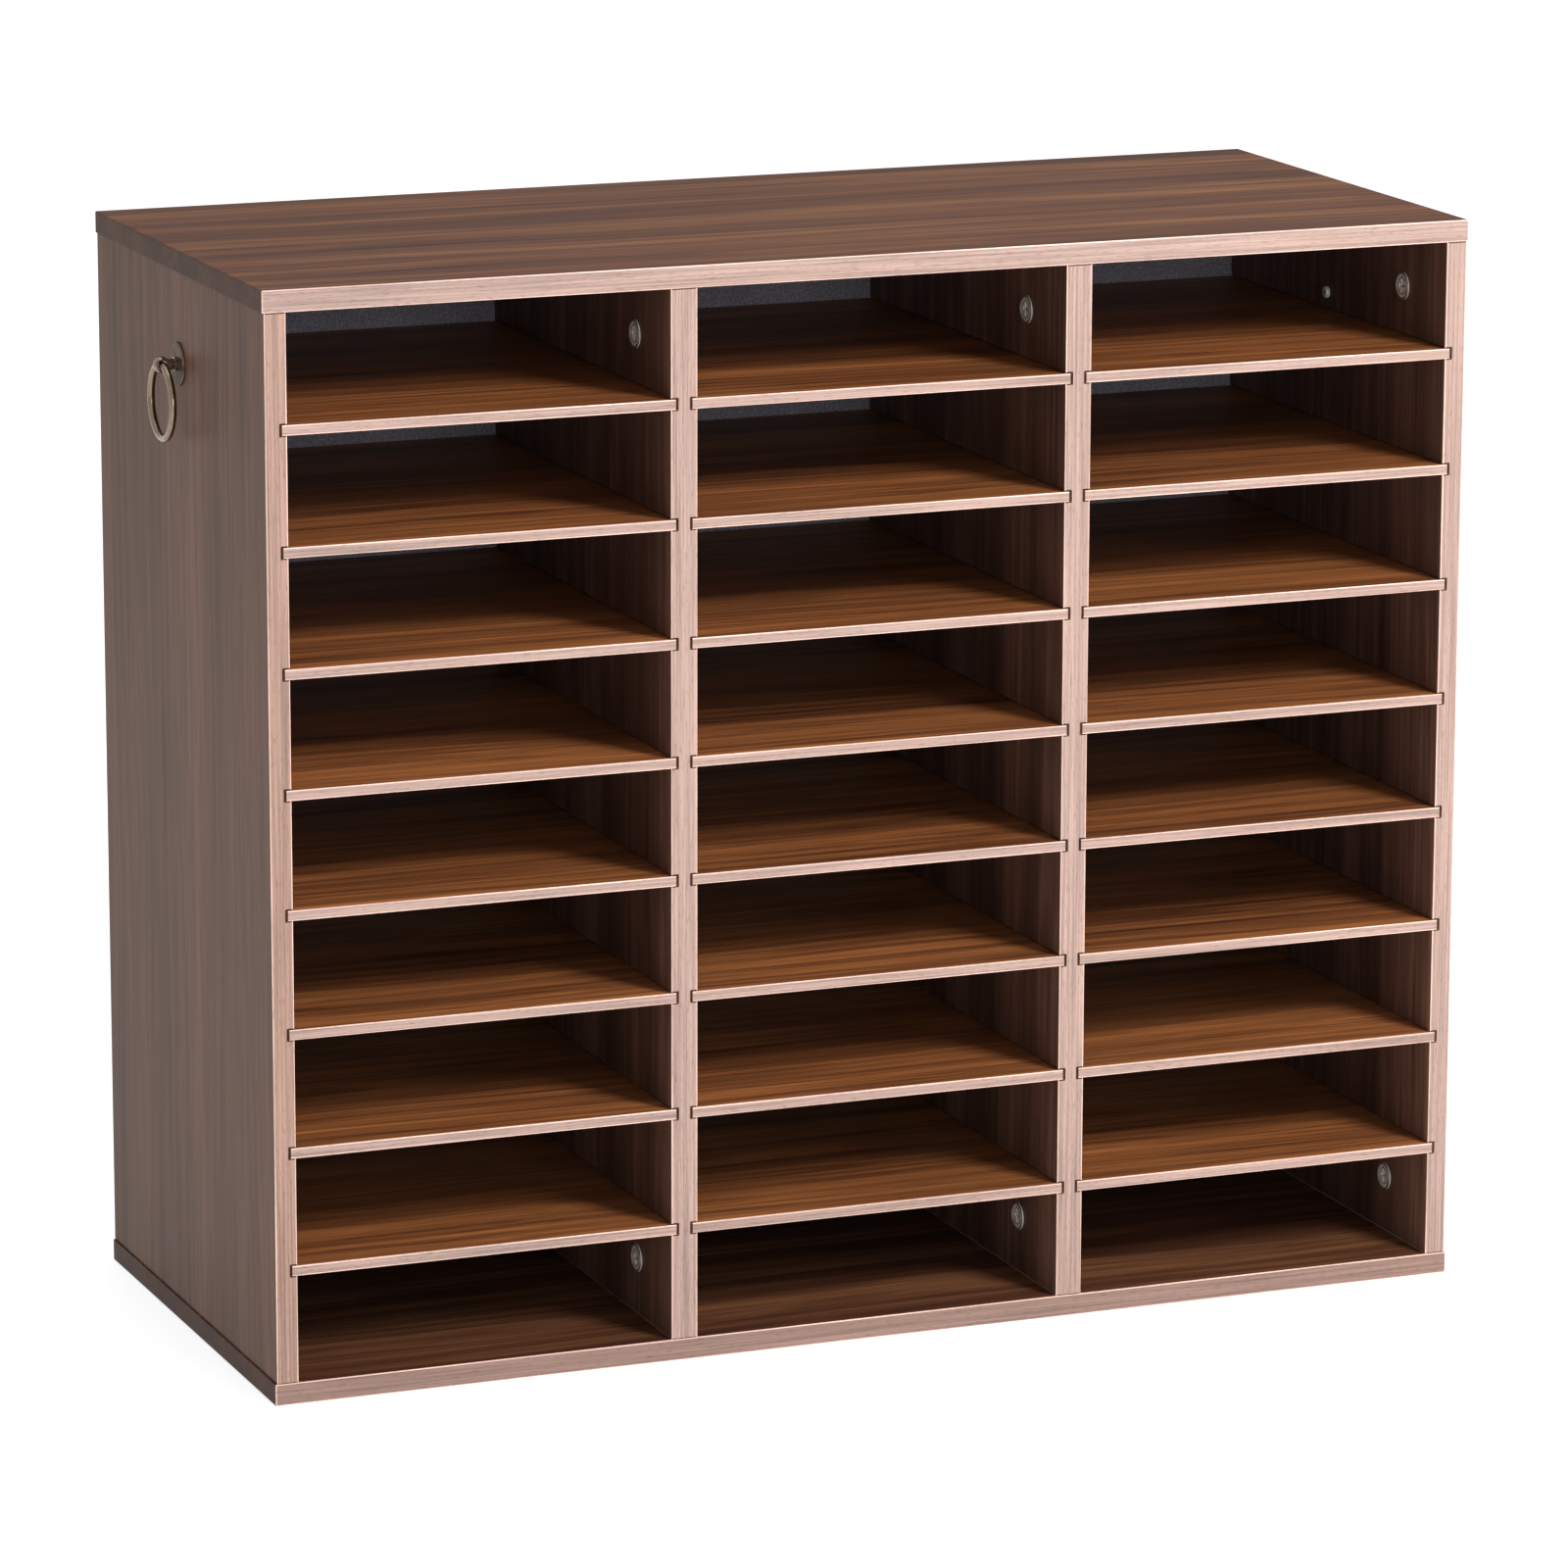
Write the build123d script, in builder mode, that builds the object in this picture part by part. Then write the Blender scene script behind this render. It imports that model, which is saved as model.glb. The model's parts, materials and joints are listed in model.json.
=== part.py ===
from build123d import *
import os

os.makedirs("parts", exist_ok=True)

# Document organizer: a grooved cabinet of 27 paper compartments, millimetres throughout.
# X runs along the width, Y runs from the open front to the back, Z runs up from the floor.

# Compartments.
column_count = 3
row_count = 9
column_clear = 227.0
row_clear = 63.0

# Boards.
outer_board = 12.7
divider_board = 15.9
cabinet_depth = 318.0
top_overhang = 1.0

# Shelves and the grooves that carry their ends.
shelf_count = row_count - 1
shelf_thickness = 6.0
shelf_depth = 295.0
shelf_tongue = 3.5
groove_depth = 4.0
groove_height = 6.5

# Back panels and their grooves.
back_thickness = 3.0
back_groove_width = 3.4
back_setback = 19.0
back_tongue = 3.5

# Cam fittings: a round lock in the face of an upright pulls on a bolt in its end.
cam_from_front = 57.0
cam_from_end = 34.0
cam_drum_radius = 7.5
cam_rim_radius = 8.3
cam_rim_height = 0.6
cam_pocket_radius = 7.65
cam_floor = 2.7
cam_pocket_gap = 0.3
cam_cavity_radius = 3.9
cam_cavity_past_centre = 2.4
cam_cross_length = 8.4
cam_cross_width = 1.8
cam_cross_depth = 2.2
bolt_bore_radius = 3.65
bolt_thread_bore_radius = 3.15
bolt_thread_radius = 3.0
bolt_thread_length = 9.0
bolt_shank_radius = 3.5
bolt_neck_radius = 2.2
bolt_neck_length = 6.0
bolt_head_length = 3.6
bolt_head_past_centre = 2.0
bore_end_gap = 0.2

# Wood dowels beside the cam bolts.
dowel_from_cam = 32.0
dowel_radius = 4.0
dowel_bore_radius = 4.15
dowel_in_upright = 20.0
dowel_in_board = 9.0
dowel_chamfer = 0.8

# Ring handles, one on each side panel.
handle_below_top = 53.0
rosette_radius = 12.6
rosette_thickness = 1.6
rosette_chamfer = 0.7
post_collar_radius = 4.1
post_collar_height = 1.4
post_stem_radius = 3.2
post_bore_radius = 1.9
eye_from_panel = 10.4
eye_ball_radius = 4.7
eye_width = 5.6
eye_hole_radius = 2.75
cheek_cut_margin = 0.1
ring_centre_radius = 21.2
ring_wire_radius = 2.15
screw_hole_radius = 2.15
screw_radius = 1.75
screw_head_radius = 3.5
screw_head_height = 2.2
screw_head_fillet = 1.2
screw_reach = 6.8
screw_tip_gap = 0.4

# Positions that follow from the sizes above.
shelf_pitch = row_clear + shelf_thickness
inner_height = row_count * row_clear + shelf_count * shelf_thickness
cabinet_height = inner_height + 2 * outer_board
divider_count = column_count - 1
cabinet_width = column_count * column_clear + 2 * outer_board + divider_count * divider_board
board_width = cabinet_width + 2 * top_overhang
column_pitch = column_clear + divider_board
side_face_x = cabinet_width / 2
inner_face_x = side_face_x - outer_board
divider_x = column_pitch / 2
front_y = -cabinet_depth / 2
upright_bottom_z = outer_board
upright_top_z = cabinet_height - outer_board
mid_z = cabinet_height / 2
first_shelf_z = upright_bottom_z + row_clear
groove_mid_z = [first_shelf_z + i * shelf_pitch + groove_height / 2 for i in range(shelf_count)]
back_y = cabinet_depth / 2 - back_setback - back_groove_width / 2
cam_y = cabinet_depth / 2 - cam_from_front
cam_z_span = inner_height - 2 * cam_from_end
dowel_y = cam_y - dowel_from_cam
handle_z = upright_top_z - handle_below_top

front_plane = Plane.XZ.offset(cabinet_depth / 2)
bottom_end_plane = Plane.XY.offset(upright_bottom_z)
top_end_plane = Plane.XY.offset(upright_top_z)

# Mid-thickness X of the four uprights, from left to right.
upright_mid_x = [
    -(side_face_x - outer_board / 2),
    -divider_x,
    divider_x,
    side_face_x - outer_board / 2,
]
cam_bolt_points = [(x, y) for x in upright_mid_x for y in (-cam_y, cam_y)]
dowel_points = [(x, y) for x in upright_mid_x for y in (-dowel_y, dowel_y)]


def save(piece, name):
    piece.part.label = name
    export_step(piece.part, "parts/" + name + ".step")


def make_upright(name, mid_x, thickness, grooved_faces, cam_side, has_handle):
    """A vertical board between the bottom and the top panel, grooved where shelves run."""
    cam_face_x = mid_x + cam_side * thickness / 2
    with BuildPart() as upright:
        with BuildSketch(bottom_end_plane):
            with Locations((mid_x, 0)):
                Rectangle(thickness, cabinet_depth)
        extrude(amount=inner_height)

        for side in grooved_faces:
            face_x = mid_x + side * thickness / 2
            with BuildSketch(front_plane):
                with Locations(*[(face_x, z) for z in groove_mid_z]):
                    Rectangle(2 * groove_depth, groove_height)
            extrude(amount=-cabinet_depth, mode=Mode.SUBTRACT)
            with BuildSketch(bottom_end_plane):
                with Locations((face_x, back_y)):
                    Rectangle(2 * groove_depth, back_groove_width)
            extrude(amount=inner_height, mode=Mode.SUBTRACT)

        with BuildSketch(Plane.YZ.offset(cam_face_x)):
            with Locations((0, mid_z)):
                with GridLocations(2 * cam_y, cam_z_span, 2, 2):
                    Circle(cam_pocket_radius)
        extrude(amount=-cam_side * (thickness - cam_floor), mode=Mode.SUBTRACT)

        # Both ends are bored for the cam bolts and for the wood dowels.
        for end_plane, inward in ((bottom_end_plane, 1), (top_end_plane, -1)):
            with BuildSketch(end_plane):
                with Locations((mid_x, -cam_y), (mid_x, cam_y)):
                    Circle(bolt_bore_radius)
            extrude(amount=inward * cam_from_end, mode=Mode.SUBTRACT)
            with BuildSketch(end_plane):
                with Locations((mid_x, -dowel_y), (mid_x, dowel_y)):
                    Circle(dowel_bore_radius)
            extrude(amount=inward * (dowel_in_upright + bore_end_gap), mode=Mode.SUBTRACT)

        if has_handle:
            with BuildSketch(Plane.YZ.offset(mid_x - thickness / 2)):
                with Locations((0, handle_z)):
                    Circle(screw_hole_radius)
            extrude(amount=thickness, mode=Mode.SUBTRACT)
    save(upright, name)


def make_cam_locks(name, mid_x, thickness, cam_side):
    """The four round locks of one upright, each with a cavity that hooks a bolt head."""
    face_x = mid_x + cam_side * thickness / 2
    drum_depth = thickness - cam_floor - cam_pocket_gap
    with BuildPart() as locks:
        with BuildSketch(Plane.YZ.offset(face_x)):
            with Locations((0, mid_z)):
                with GridLocations(2 * cam_y, cam_z_span, 2, 2):
                    Circle(cam_drum_radius)
        extrude(amount=-cam_side * drum_depth)
        with BuildSketch(Plane.YZ.offset(face_x)):
            with Locations((0, mid_z)):
                with GridLocations(2 * cam_y, cam_z_span, 2, 2):
                    Circle(cam_rim_radius)
        extrude(amount=cam_side * cam_rim_height)

        # The driver recess is a cross sunk in the outer face.
        with BuildSketch(Plane.YZ.offset(face_x + cam_side * cam_rim_height)):
            with Locations((0, mid_z)):
                with GridLocations(2 * cam_y, cam_z_span, 2, 2):
                    Rectangle(cam_cross_length, cam_cross_width)
                    Rectangle(cam_cross_width, cam_cross_length)
        extrude(amount=-cam_side * cam_cross_depth, mode=Mode.SUBTRACT)

        # The cavities open towards the nearest end of the upright.
        for end in (-1, 1):
            cavity_start_z = mid_z + end * (cam_z_span / 2 - cam_cavity_past_centre)
            with BuildSketch(Plane.XY.offset(cavity_start_z)):
                with Locations((mid_x, -cam_y), (mid_x, cam_y)):
                    Circle(cam_cavity_radius)
            extrude(amount=end * 2 * cam_drum_radius, mode=Mode.SUBTRACT)
    save(locks, name)


def make_shelf(name, column_x, level):
    """A thin shelf that lies on the floors of two facing grooves."""
    shelf_z = first_shelf_z + level * shelf_pitch
    with BuildPart() as shelf:
        with BuildSketch(Plane.XY.offset(shelf_z)):
            with Locations((column_x, front_y + shelf_depth / 2)):
                Rectangle(column_clear + 2 * shelf_tongue, shelf_depth)
        extrude(amount=shelf_thickness)
    save(shelf, name)


def make_back_panel(name, column_x):
    """A thin board held in grooves on all four sides, behind one column."""
    with BuildPart() as back:
        with BuildSketch(Plane.XY.offset(upright_bottom_z - back_tongue)):
            with Locations((column_x, back_y)):
                Rectangle(column_clear + 2 * back_tongue, back_thickness)
        extrude(amount=inner_height + 2 * back_tongue)
    save(back, name)


def make_end_board(name, start_z, inner_plane, outward):
    """The top or bottom panel, bored and grooved on the face that meets the uprights."""
    with BuildPart() as board:
        with BuildSketch(Plane.XY.offset(start_z)):
            Rectangle(board_width, cabinet_depth)
        extrude(amount=outer_board)
        with BuildSketch(inner_plane):
            with Locations((0, back_y)):
                with GridLocations(column_pitch, 1, column_count, 1):
                    Rectangle(column_clear + 2 * groove_depth, back_groove_width)
        extrude(amount=outward * groove_depth, mode=Mode.SUBTRACT)
        with BuildSketch(inner_plane):
            with Locations(*cam_bolt_points):
                Circle(bolt_thread_bore_radius)
        extrude(amount=outward * (bolt_thread_length + bore_end_gap), mode=Mode.SUBTRACT)
        with BuildSketch(inner_plane):
            with Locations(*dowel_points):
                Circle(dowel_bore_radius)
        extrude(amount=outward * (dowel_in_board + bore_end_gap), mode=Mode.SUBTRACT)
    save(board, name)


def make_cam_bolts(name, seam_z, outward):
    """Eight bolts that screw into the top or bottom panel and end in a locked head."""
    neck_end = bolt_head_length - bolt_head_past_centre
    stations = [
        (bolt_thread_radius, -bolt_thread_length, 0),
        (bolt_shank_radius, 0, cam_from_end - neck_end - bolt_neck_length),
        (bolt_neck_radius, cam_from_end - neck_end - bolt_neck_length, cam_from_end - neck_end),
        (bolt_shank_radius, cam_from_end - neck_end, cam_from_end + bolt_head_past_centre),
    ]
    with BuildPart() as bolts:
        for radius, start, end in stations:
            with BuildSketch(Plane.XY.offset(seam_z - outward * start)):
                with Locations(*cam_bolt_points):
                    Circle(radius)
            extrude(amount=-outward * (end - start))
    save(bolts, name)


def make_dowels(name, seam_z, outward):
    """Eight plain wood dowels with chamfered ends across one seam."""
    with BuildPart() as dowels:
        with BuildSketch(Plane.XY.offset(seam_z + outward * dowel_in_board)):
            with Locations(*dowel_points):
                Circle(dowel_radius)
        extrude(amount=-outward * (dowel_in_board + dowel_in_upright))
        chamfer(dowels.edges().filter_by(GeomType.CIRCLE), dowel_chamfer)
    save(dowels, name)


def make_handle(prefix, side):
    """One ring handle on the outside of a side panel; side is -1 on the left, 1 on the right."""
    panel_x = side * side_face_x
    handle_axis = Axis((0, 0, handle_z), (1, 0, 0))
    eye_x = panel_x + side * eye_from_panel
    post_base = rosette_thickness
    collar_top = post_base + post_collar_height

    # The rosette is a flat disc with a chamfered rim and a hole for the screw.
    with BuildPart() as rosette:
        with BuildSketch(Plane.YZ.offset(panel_x)):
            with Locations((0, handle_z)):
                Circle(rosette_radius)
                Circle(screw_hole_radius, mode=Mode.SUBTRACT)
        extrude(amount=side * rosette_thickness)
        outer_face = rosette.faces().sort_by(Axis((0, 0, 0), (side, 0, 0)))[-1]
        rim = outer_face.edges().sort_by(SortBy.LENGTH)[-1]
        chamfer(rim, rosette_chamfer)
    save(rosette, prefix + "_handle_rosette")

    # The eye post is turned, flattened on both cheeks and cross-bored for the ring.
    with BuildPart() as post:
        with BuildSketch(Plane.YZ.offset(panel_x + side * post_base)):
            with Locations((0, handle_z)):
                Circle(post_collar_radius)
        extrude(amount=side * post_collar_height)
        with BuildSketch(Plane.YZ.offset(panel_x + side * collar_top)):
            with Locations((0, handle_z)):
                Circle(post_stem_radius)
        extrude(amount=side * (eye_from_panel - collar_top))
        with BuildSketch(Plane.XZ):
            with BuildLine():
                inner_pole = (eye_x - eye_ball_radius, handle_z)
                crown = (eye_x, handle_z + eye_ball_radius)
                outer_pole = (eye_x + eye_ball_radius, handle_z)
                ThreePointArc(inner_pole, crown, outer_pole)
                Line(outer_pole, inner_pole)
            make_face()
        revolve(axis=handle_axis)

        # The cheeks are cut flat, then the ring hole and the blind screw hole are bored.
        for cheek in (-1, 1):
            with BuildSketch(Plane.XZ.offset(cheek * eye_width / 2)):
                with Locations((eye_x, handle_z)):
                    Circle(eye_ball_radius + cheek_cut_margin)
            extrude(amount=cheek * eye_ball_radius, mode=Mode.SUBTRACT)
        with BuildSketch(Plane.XZ.offset(-eye_width)):
            with Locations((eye_x, handle_z)):
                Circle(eye_hole_radius)
        extrude(amount=2 * eye_width, mode=Mode.SUBTRACT)
        with BuildSketch(Plane.YZ.offset(panel_x + side * post_base)):
            with Locations((0, handle_z)):
                Circle(post_bore_radius)
        extrude(amount=side * (screw_reach + screw_tip_gap - post_base), mode=Mode.SUBTRACT)
    save(post, prefix + "_handle_post")

    # The ring is a plain closed loop of round wire that hangs from the eye.
    with BuildPart() as ring:
        with BuildSketch(Plane.XZ):
            with Locations((eye_x, handle_z)):
                Circle(ring_wire_radius)
        revolve(axis=Axis((0, 0, handle_z - ring_centre_radius), (1, 0, 0)))
    save(ring, prefix + "_handle_ring")

    # The screw comes from inside the cabinet through the panel into the post.
    with BuildPart() as screw:
        with BuildSketch(Plane.YZ.offset(side * inner_face_x)):
            with Locations((0, handle_z)):
                Circle(screw_radius)
        extrude(amount=side * (outer_board + screw_reach))
        with BuildSketch(Plane.YZ.offset(side * inner_face_x)):
            with Locations((0, handle_z)):
                Circle(screw_head_radius)
        extrude(amount=-side * screw_head_height)
        innermost = screw.faces().sort_by(Axis((0, 0, 0), (-side, 0, 0)))[-1]
        fillet(innermost.edges(), screw_head_fillet)
    save(screw, prefix + "_handle_screw")


make_end_board("bottom_panel", 0, bottom_end_plane, -1)
make_end_board("top_panel", upright_top_z, top_end_plane, 1)

uprights = [
    ("left_side", upright_mid_x[0], outer_board, (1,), 1, True),
    ("left_divider", upright_mid_x[1], divider_board, (-1, 1), -1, False),
    ("right_divider", upright_mid_x[2], divider_board, (-1, 1), -1, False),
    ("right_side", upright_mid_x[3], outer_board, (-1,), -1, True),
]
for prefix, mid_x, thickness, grooved_faces, cam_side, has_handle in uprights:
    make_upright(prefix + "_panel", mid_x, thickness, grooved_faces, cam_side, has_handle)
    make_cam_locks(prefix + "_cam_locks", mid_x, thickness, cam_side)

make_cam_bolts("bottom_cam_bolts", upright_bottom_z, -1)
make_cam_bolts("top_cam_bolts", upright_top_z, 1)
make_dowels("bottom_wood_dowels", upright_bottom_z, -1)
make_dowels("top_wood_dowels", upright_top_z, 1)

columns = [("left", -column_pitch), ("centre", 0), ("right", column_pitch)]
for prefix, column_x in columns:
    make_back_panel(prefix + "_back_panel", column_x)
    for level in range(shelf_count):
        make_shelf(f"{prefix}_shelf_{level + 1}", column_x, level)

make_handle("left", -1)
make_handle("right", 1)
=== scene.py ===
import json
import math

import bmesh
import bpy
from mathutils import Euler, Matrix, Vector


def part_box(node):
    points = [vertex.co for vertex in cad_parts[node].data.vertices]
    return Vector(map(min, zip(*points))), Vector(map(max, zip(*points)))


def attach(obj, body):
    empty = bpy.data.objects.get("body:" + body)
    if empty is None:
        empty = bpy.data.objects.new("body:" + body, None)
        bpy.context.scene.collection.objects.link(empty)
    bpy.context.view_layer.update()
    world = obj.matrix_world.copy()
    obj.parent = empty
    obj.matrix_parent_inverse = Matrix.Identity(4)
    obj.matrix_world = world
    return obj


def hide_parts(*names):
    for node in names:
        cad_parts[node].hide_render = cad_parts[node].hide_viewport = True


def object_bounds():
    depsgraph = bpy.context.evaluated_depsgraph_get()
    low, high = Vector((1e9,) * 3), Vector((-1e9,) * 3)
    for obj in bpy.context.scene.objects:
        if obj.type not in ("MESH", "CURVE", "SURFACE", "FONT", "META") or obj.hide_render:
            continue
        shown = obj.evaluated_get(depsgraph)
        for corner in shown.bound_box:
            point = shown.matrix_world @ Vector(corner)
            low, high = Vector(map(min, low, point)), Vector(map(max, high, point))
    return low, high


bl_info = {
    "name": "Document organizer",
    "version": (1, 0, 0),
    "blender": (4, 5, 0),
    "location": "3D View > Sidebar > Organizer",
    "description": "Builds the looks of a wooden document organizer around its CAD frame",
    "category": "Add Mesh",
}

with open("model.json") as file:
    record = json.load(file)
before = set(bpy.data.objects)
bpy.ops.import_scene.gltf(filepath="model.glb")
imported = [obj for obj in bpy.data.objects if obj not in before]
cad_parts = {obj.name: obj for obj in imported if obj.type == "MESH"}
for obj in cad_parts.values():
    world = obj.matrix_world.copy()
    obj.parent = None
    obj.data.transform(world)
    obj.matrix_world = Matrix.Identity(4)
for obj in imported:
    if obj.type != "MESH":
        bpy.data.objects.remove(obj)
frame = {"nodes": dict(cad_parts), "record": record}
cad_low, cad_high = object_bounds()

# Names in the CAD. A side of 1 faces +X and a side of -1 faces -X.
COLUMNS = ("left", "centre", "right")
SHELVES_IN_A_COLUMN = 8
SHELVES = [
    f"{column}_shelf_{level}"
    for column in COLUMNS
    for level in range(1, SHELVES_IN_A_COLUMN + 1)
]
UPRIGHTS = ("left_side", "left_divider", "right_divider", "right_side")
CAM_SIDE = {"left_side": 1, "left_divider": -1, "right_divider": -1, "right_side": -1}
HANDLE_SIDES = {"left": -1, "right": 1}
END_BOARDS = ("top", "bottom")
LYING_BOARDS = ("top", "bottom", "shelf")

# The finishes, painted highlights and painted shade that a board's faces can have, in the order of its
# material slots.
BOARD_FINISHES = (
    "laminate", "inner", "wall", "side", "band", "band_left_painted_shade", "band_low_painted_shade",
    "foot_line_and_highlight", "dark_edge_and_shade", "raw",
)
# Front bands with painted shade: darker and warmer on the left side panel, darker on the bottom panel.
FRONT_BANDS = {"left_outer": "band_left_painted_shade", "bottom": "band_low_painted_shade"}

# Directions along and across the grain.
X_AXIS = 0
Z_AXIS = 2

# Seeds that shift the grain, so that no two boards look cut from the same place.
TOP_SEED = 1
BOTTOM_SEED = 2
FIRST_UPRIGHT_SEED = 3
FIRST_SHELF_SEED = 10
GRAIN_SHIFTS = (0.37, 0.113, 0.071)

# Distances in metres that tell the faces of a board apart.
WELD_DISTANCE = 2e-6
SKIN_DEPTH = 0.0006
EASED_DEPTH = 0.0015
BESIDE_DEPTH = 0.001
FOOT_DEPTH = 0.0012

# Parts of a face's normal along one axis, which tell which way the face looks.
STRAIGHT = 0.999
FRONTAL = 0.97
BROADLY = 0.7
MOSTLY = 0.5
ASLANT = 0.3
SLIGHTLY = 0.2
BARELY = 0.1

# Edges with a sharper angle than the first are eased, and with a softer one than the second smoothed.
SHARP_ANGLE = 1.0
SMOOTH_ANGLE = 0.6
EASE_STEPS = 2
EASE_FULLNESS = 0.6
SHORTEST_EASED = 4

# Cam lock faces in metres. A profile's points are (height over the face, radius).
CAM_RIM_RADIUS = 0.0083
CAM_RIM_PROFILE = (
    (0.0, 0.0083), (0.00025, 0.00835), (0.00055, 0.0081), (0.0006, 0.0077),
    (0.00045, 0.0072), (0.0, 0.0070), (0.0, 0.0083),
)
CAM_STEP_PROFILE = ((0.0, 0.0052), (0.0003, 0.0051), (0.0003, 0.0048), (0.0, 0.0047), (0.0, 0.0052))
CAM_POINTER = ((0.0, 0.0066), (-0.0008, 0.0054), (0.0008, 0.0054))
CAM_POINTER_HEIGHT = 0.0003
FACE_TOLERANCE = 1e-5

# Corners round each turned circle.
CAM_RIM_CORNERS = 48
CAM_STEP_CORNERS = 40

# The dark cross of painted shade on a handle screw's head, in place of its cross recess, in metres.
CROSS_HALF_LENGTH = 0.0019
CROSS_HALF_WIDTH = 0.0004
CROSS_DEPTH = 0.0005
CROSS_LIFT = 0.00004

# Materials in a cam lock's and a screw's slots.
PLATED = 0
SHADED = 1

# How often each wood pattern changes in a metre: along the grain, then in the two directions across.
STREAK_DRIFT = (2.2, 9.0, 9.0)
WIDE_STREAKS = (0.9, 26.0, 26.0)
NARROW_STREAKS = (2.6, 170.0, 170.0)
FIBRES = (11.0, 620.0, 620.0)
BAND_STRANDS = (9.0, 700.0, 700.0)
BAND_PATCHES = (3.0, 60.0, 60.0)
BAND_PORES = (160.0, 1700.0, 1700.0)

# How far the streaks wander across the grain, and how deep each surface's relief is, in metres.
STREAK_WANDER = (0.0, 0.035, 0.035)
BOARD_RELIEF = 0.0002
METAL_RELIEF = 0.0001

# Patterns on metal, fibre board and dowels, in changes a metre.
PATINA_CLOUDS = 220.0
METAL_GRIT = 1500.0
EVEN_GRIT = 900.0
RAW_FLECKS = 420.0
BACK_FLECKS = 650.0

# How far the walnut figure is spread, the clouds' pace next to the flecks', and the light flecks' gain.
FIGURE_SPREAD = 2.5
CLOUDS_TO_FLECKS = 0.08
LIGHT_FLECK_GAIN = 1.6

# The floor and the world.
WHITE = (1.0, 1.0, 1.0, 1.0)
FLOOR_REACH = 12.0
FLOOR_GAP = 0.0002
FLOOR_COLOUR = (0.88, 0.88, 0.88, 1.0)
FLOOR_OWN_WHITE = 0.62
SKY_COLOUR = (0.97, 0.985, 1.0, 1.0)
SKY_STRENGTH = 0.5

# The studio lights: place, what each points at, its size in metres and its colour.
CABINET_MIDDLE = (0.0, 0.0, 0.32)
RIGHT_HALF_MIDDLE = (0.3, 0.0, 0.35)
WARM_WHITE = (1.0, 0.96, 0.91)
COOL_WHITE = (0.72, 0.93, 1.16)
PLAIN_WHITE = (1.0, 1.0, 1.0)
KEY_LIGHT = ((1.16, -2.42, 2.05), CABINET_MIDDLE, (0.75, 0.75), WARM_WHITE)
FILL_LIGHT = ((-0.2, -4.8, 1.1), CABINET_MIDDLE, (2.2, 1.2), COOL_WHITE)
RIGHT_LIGHT = ((1.9, -2.3, 0.8), RIGHT_HALF_MIDDLE, (0.8, 0.8), PLAIN_WHITE)
TOP_LIGHT = ((0.2, 0.4, 3.2), CABINET_MIDDLE, (2.6, 2.0), PLAIN_WHITE)

# Powers of the two plain lights, as shares of the fill light's.
RIGHT_LIGHT_SHARE = 0.22
TOP_LIGHT_SHARE = 0.5

# The camera, as found by a fit to the board edges in the photograph.
CAMERA_PLACE = (-1.62702, -4.07991, 1.29786)
CAMERA_TURN = (1.347107, -0.002476, -0.379572)
CAMERA_SENSOR_WIDTH = 36.0
CAMERA_CLIP_END = 100.0


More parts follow.
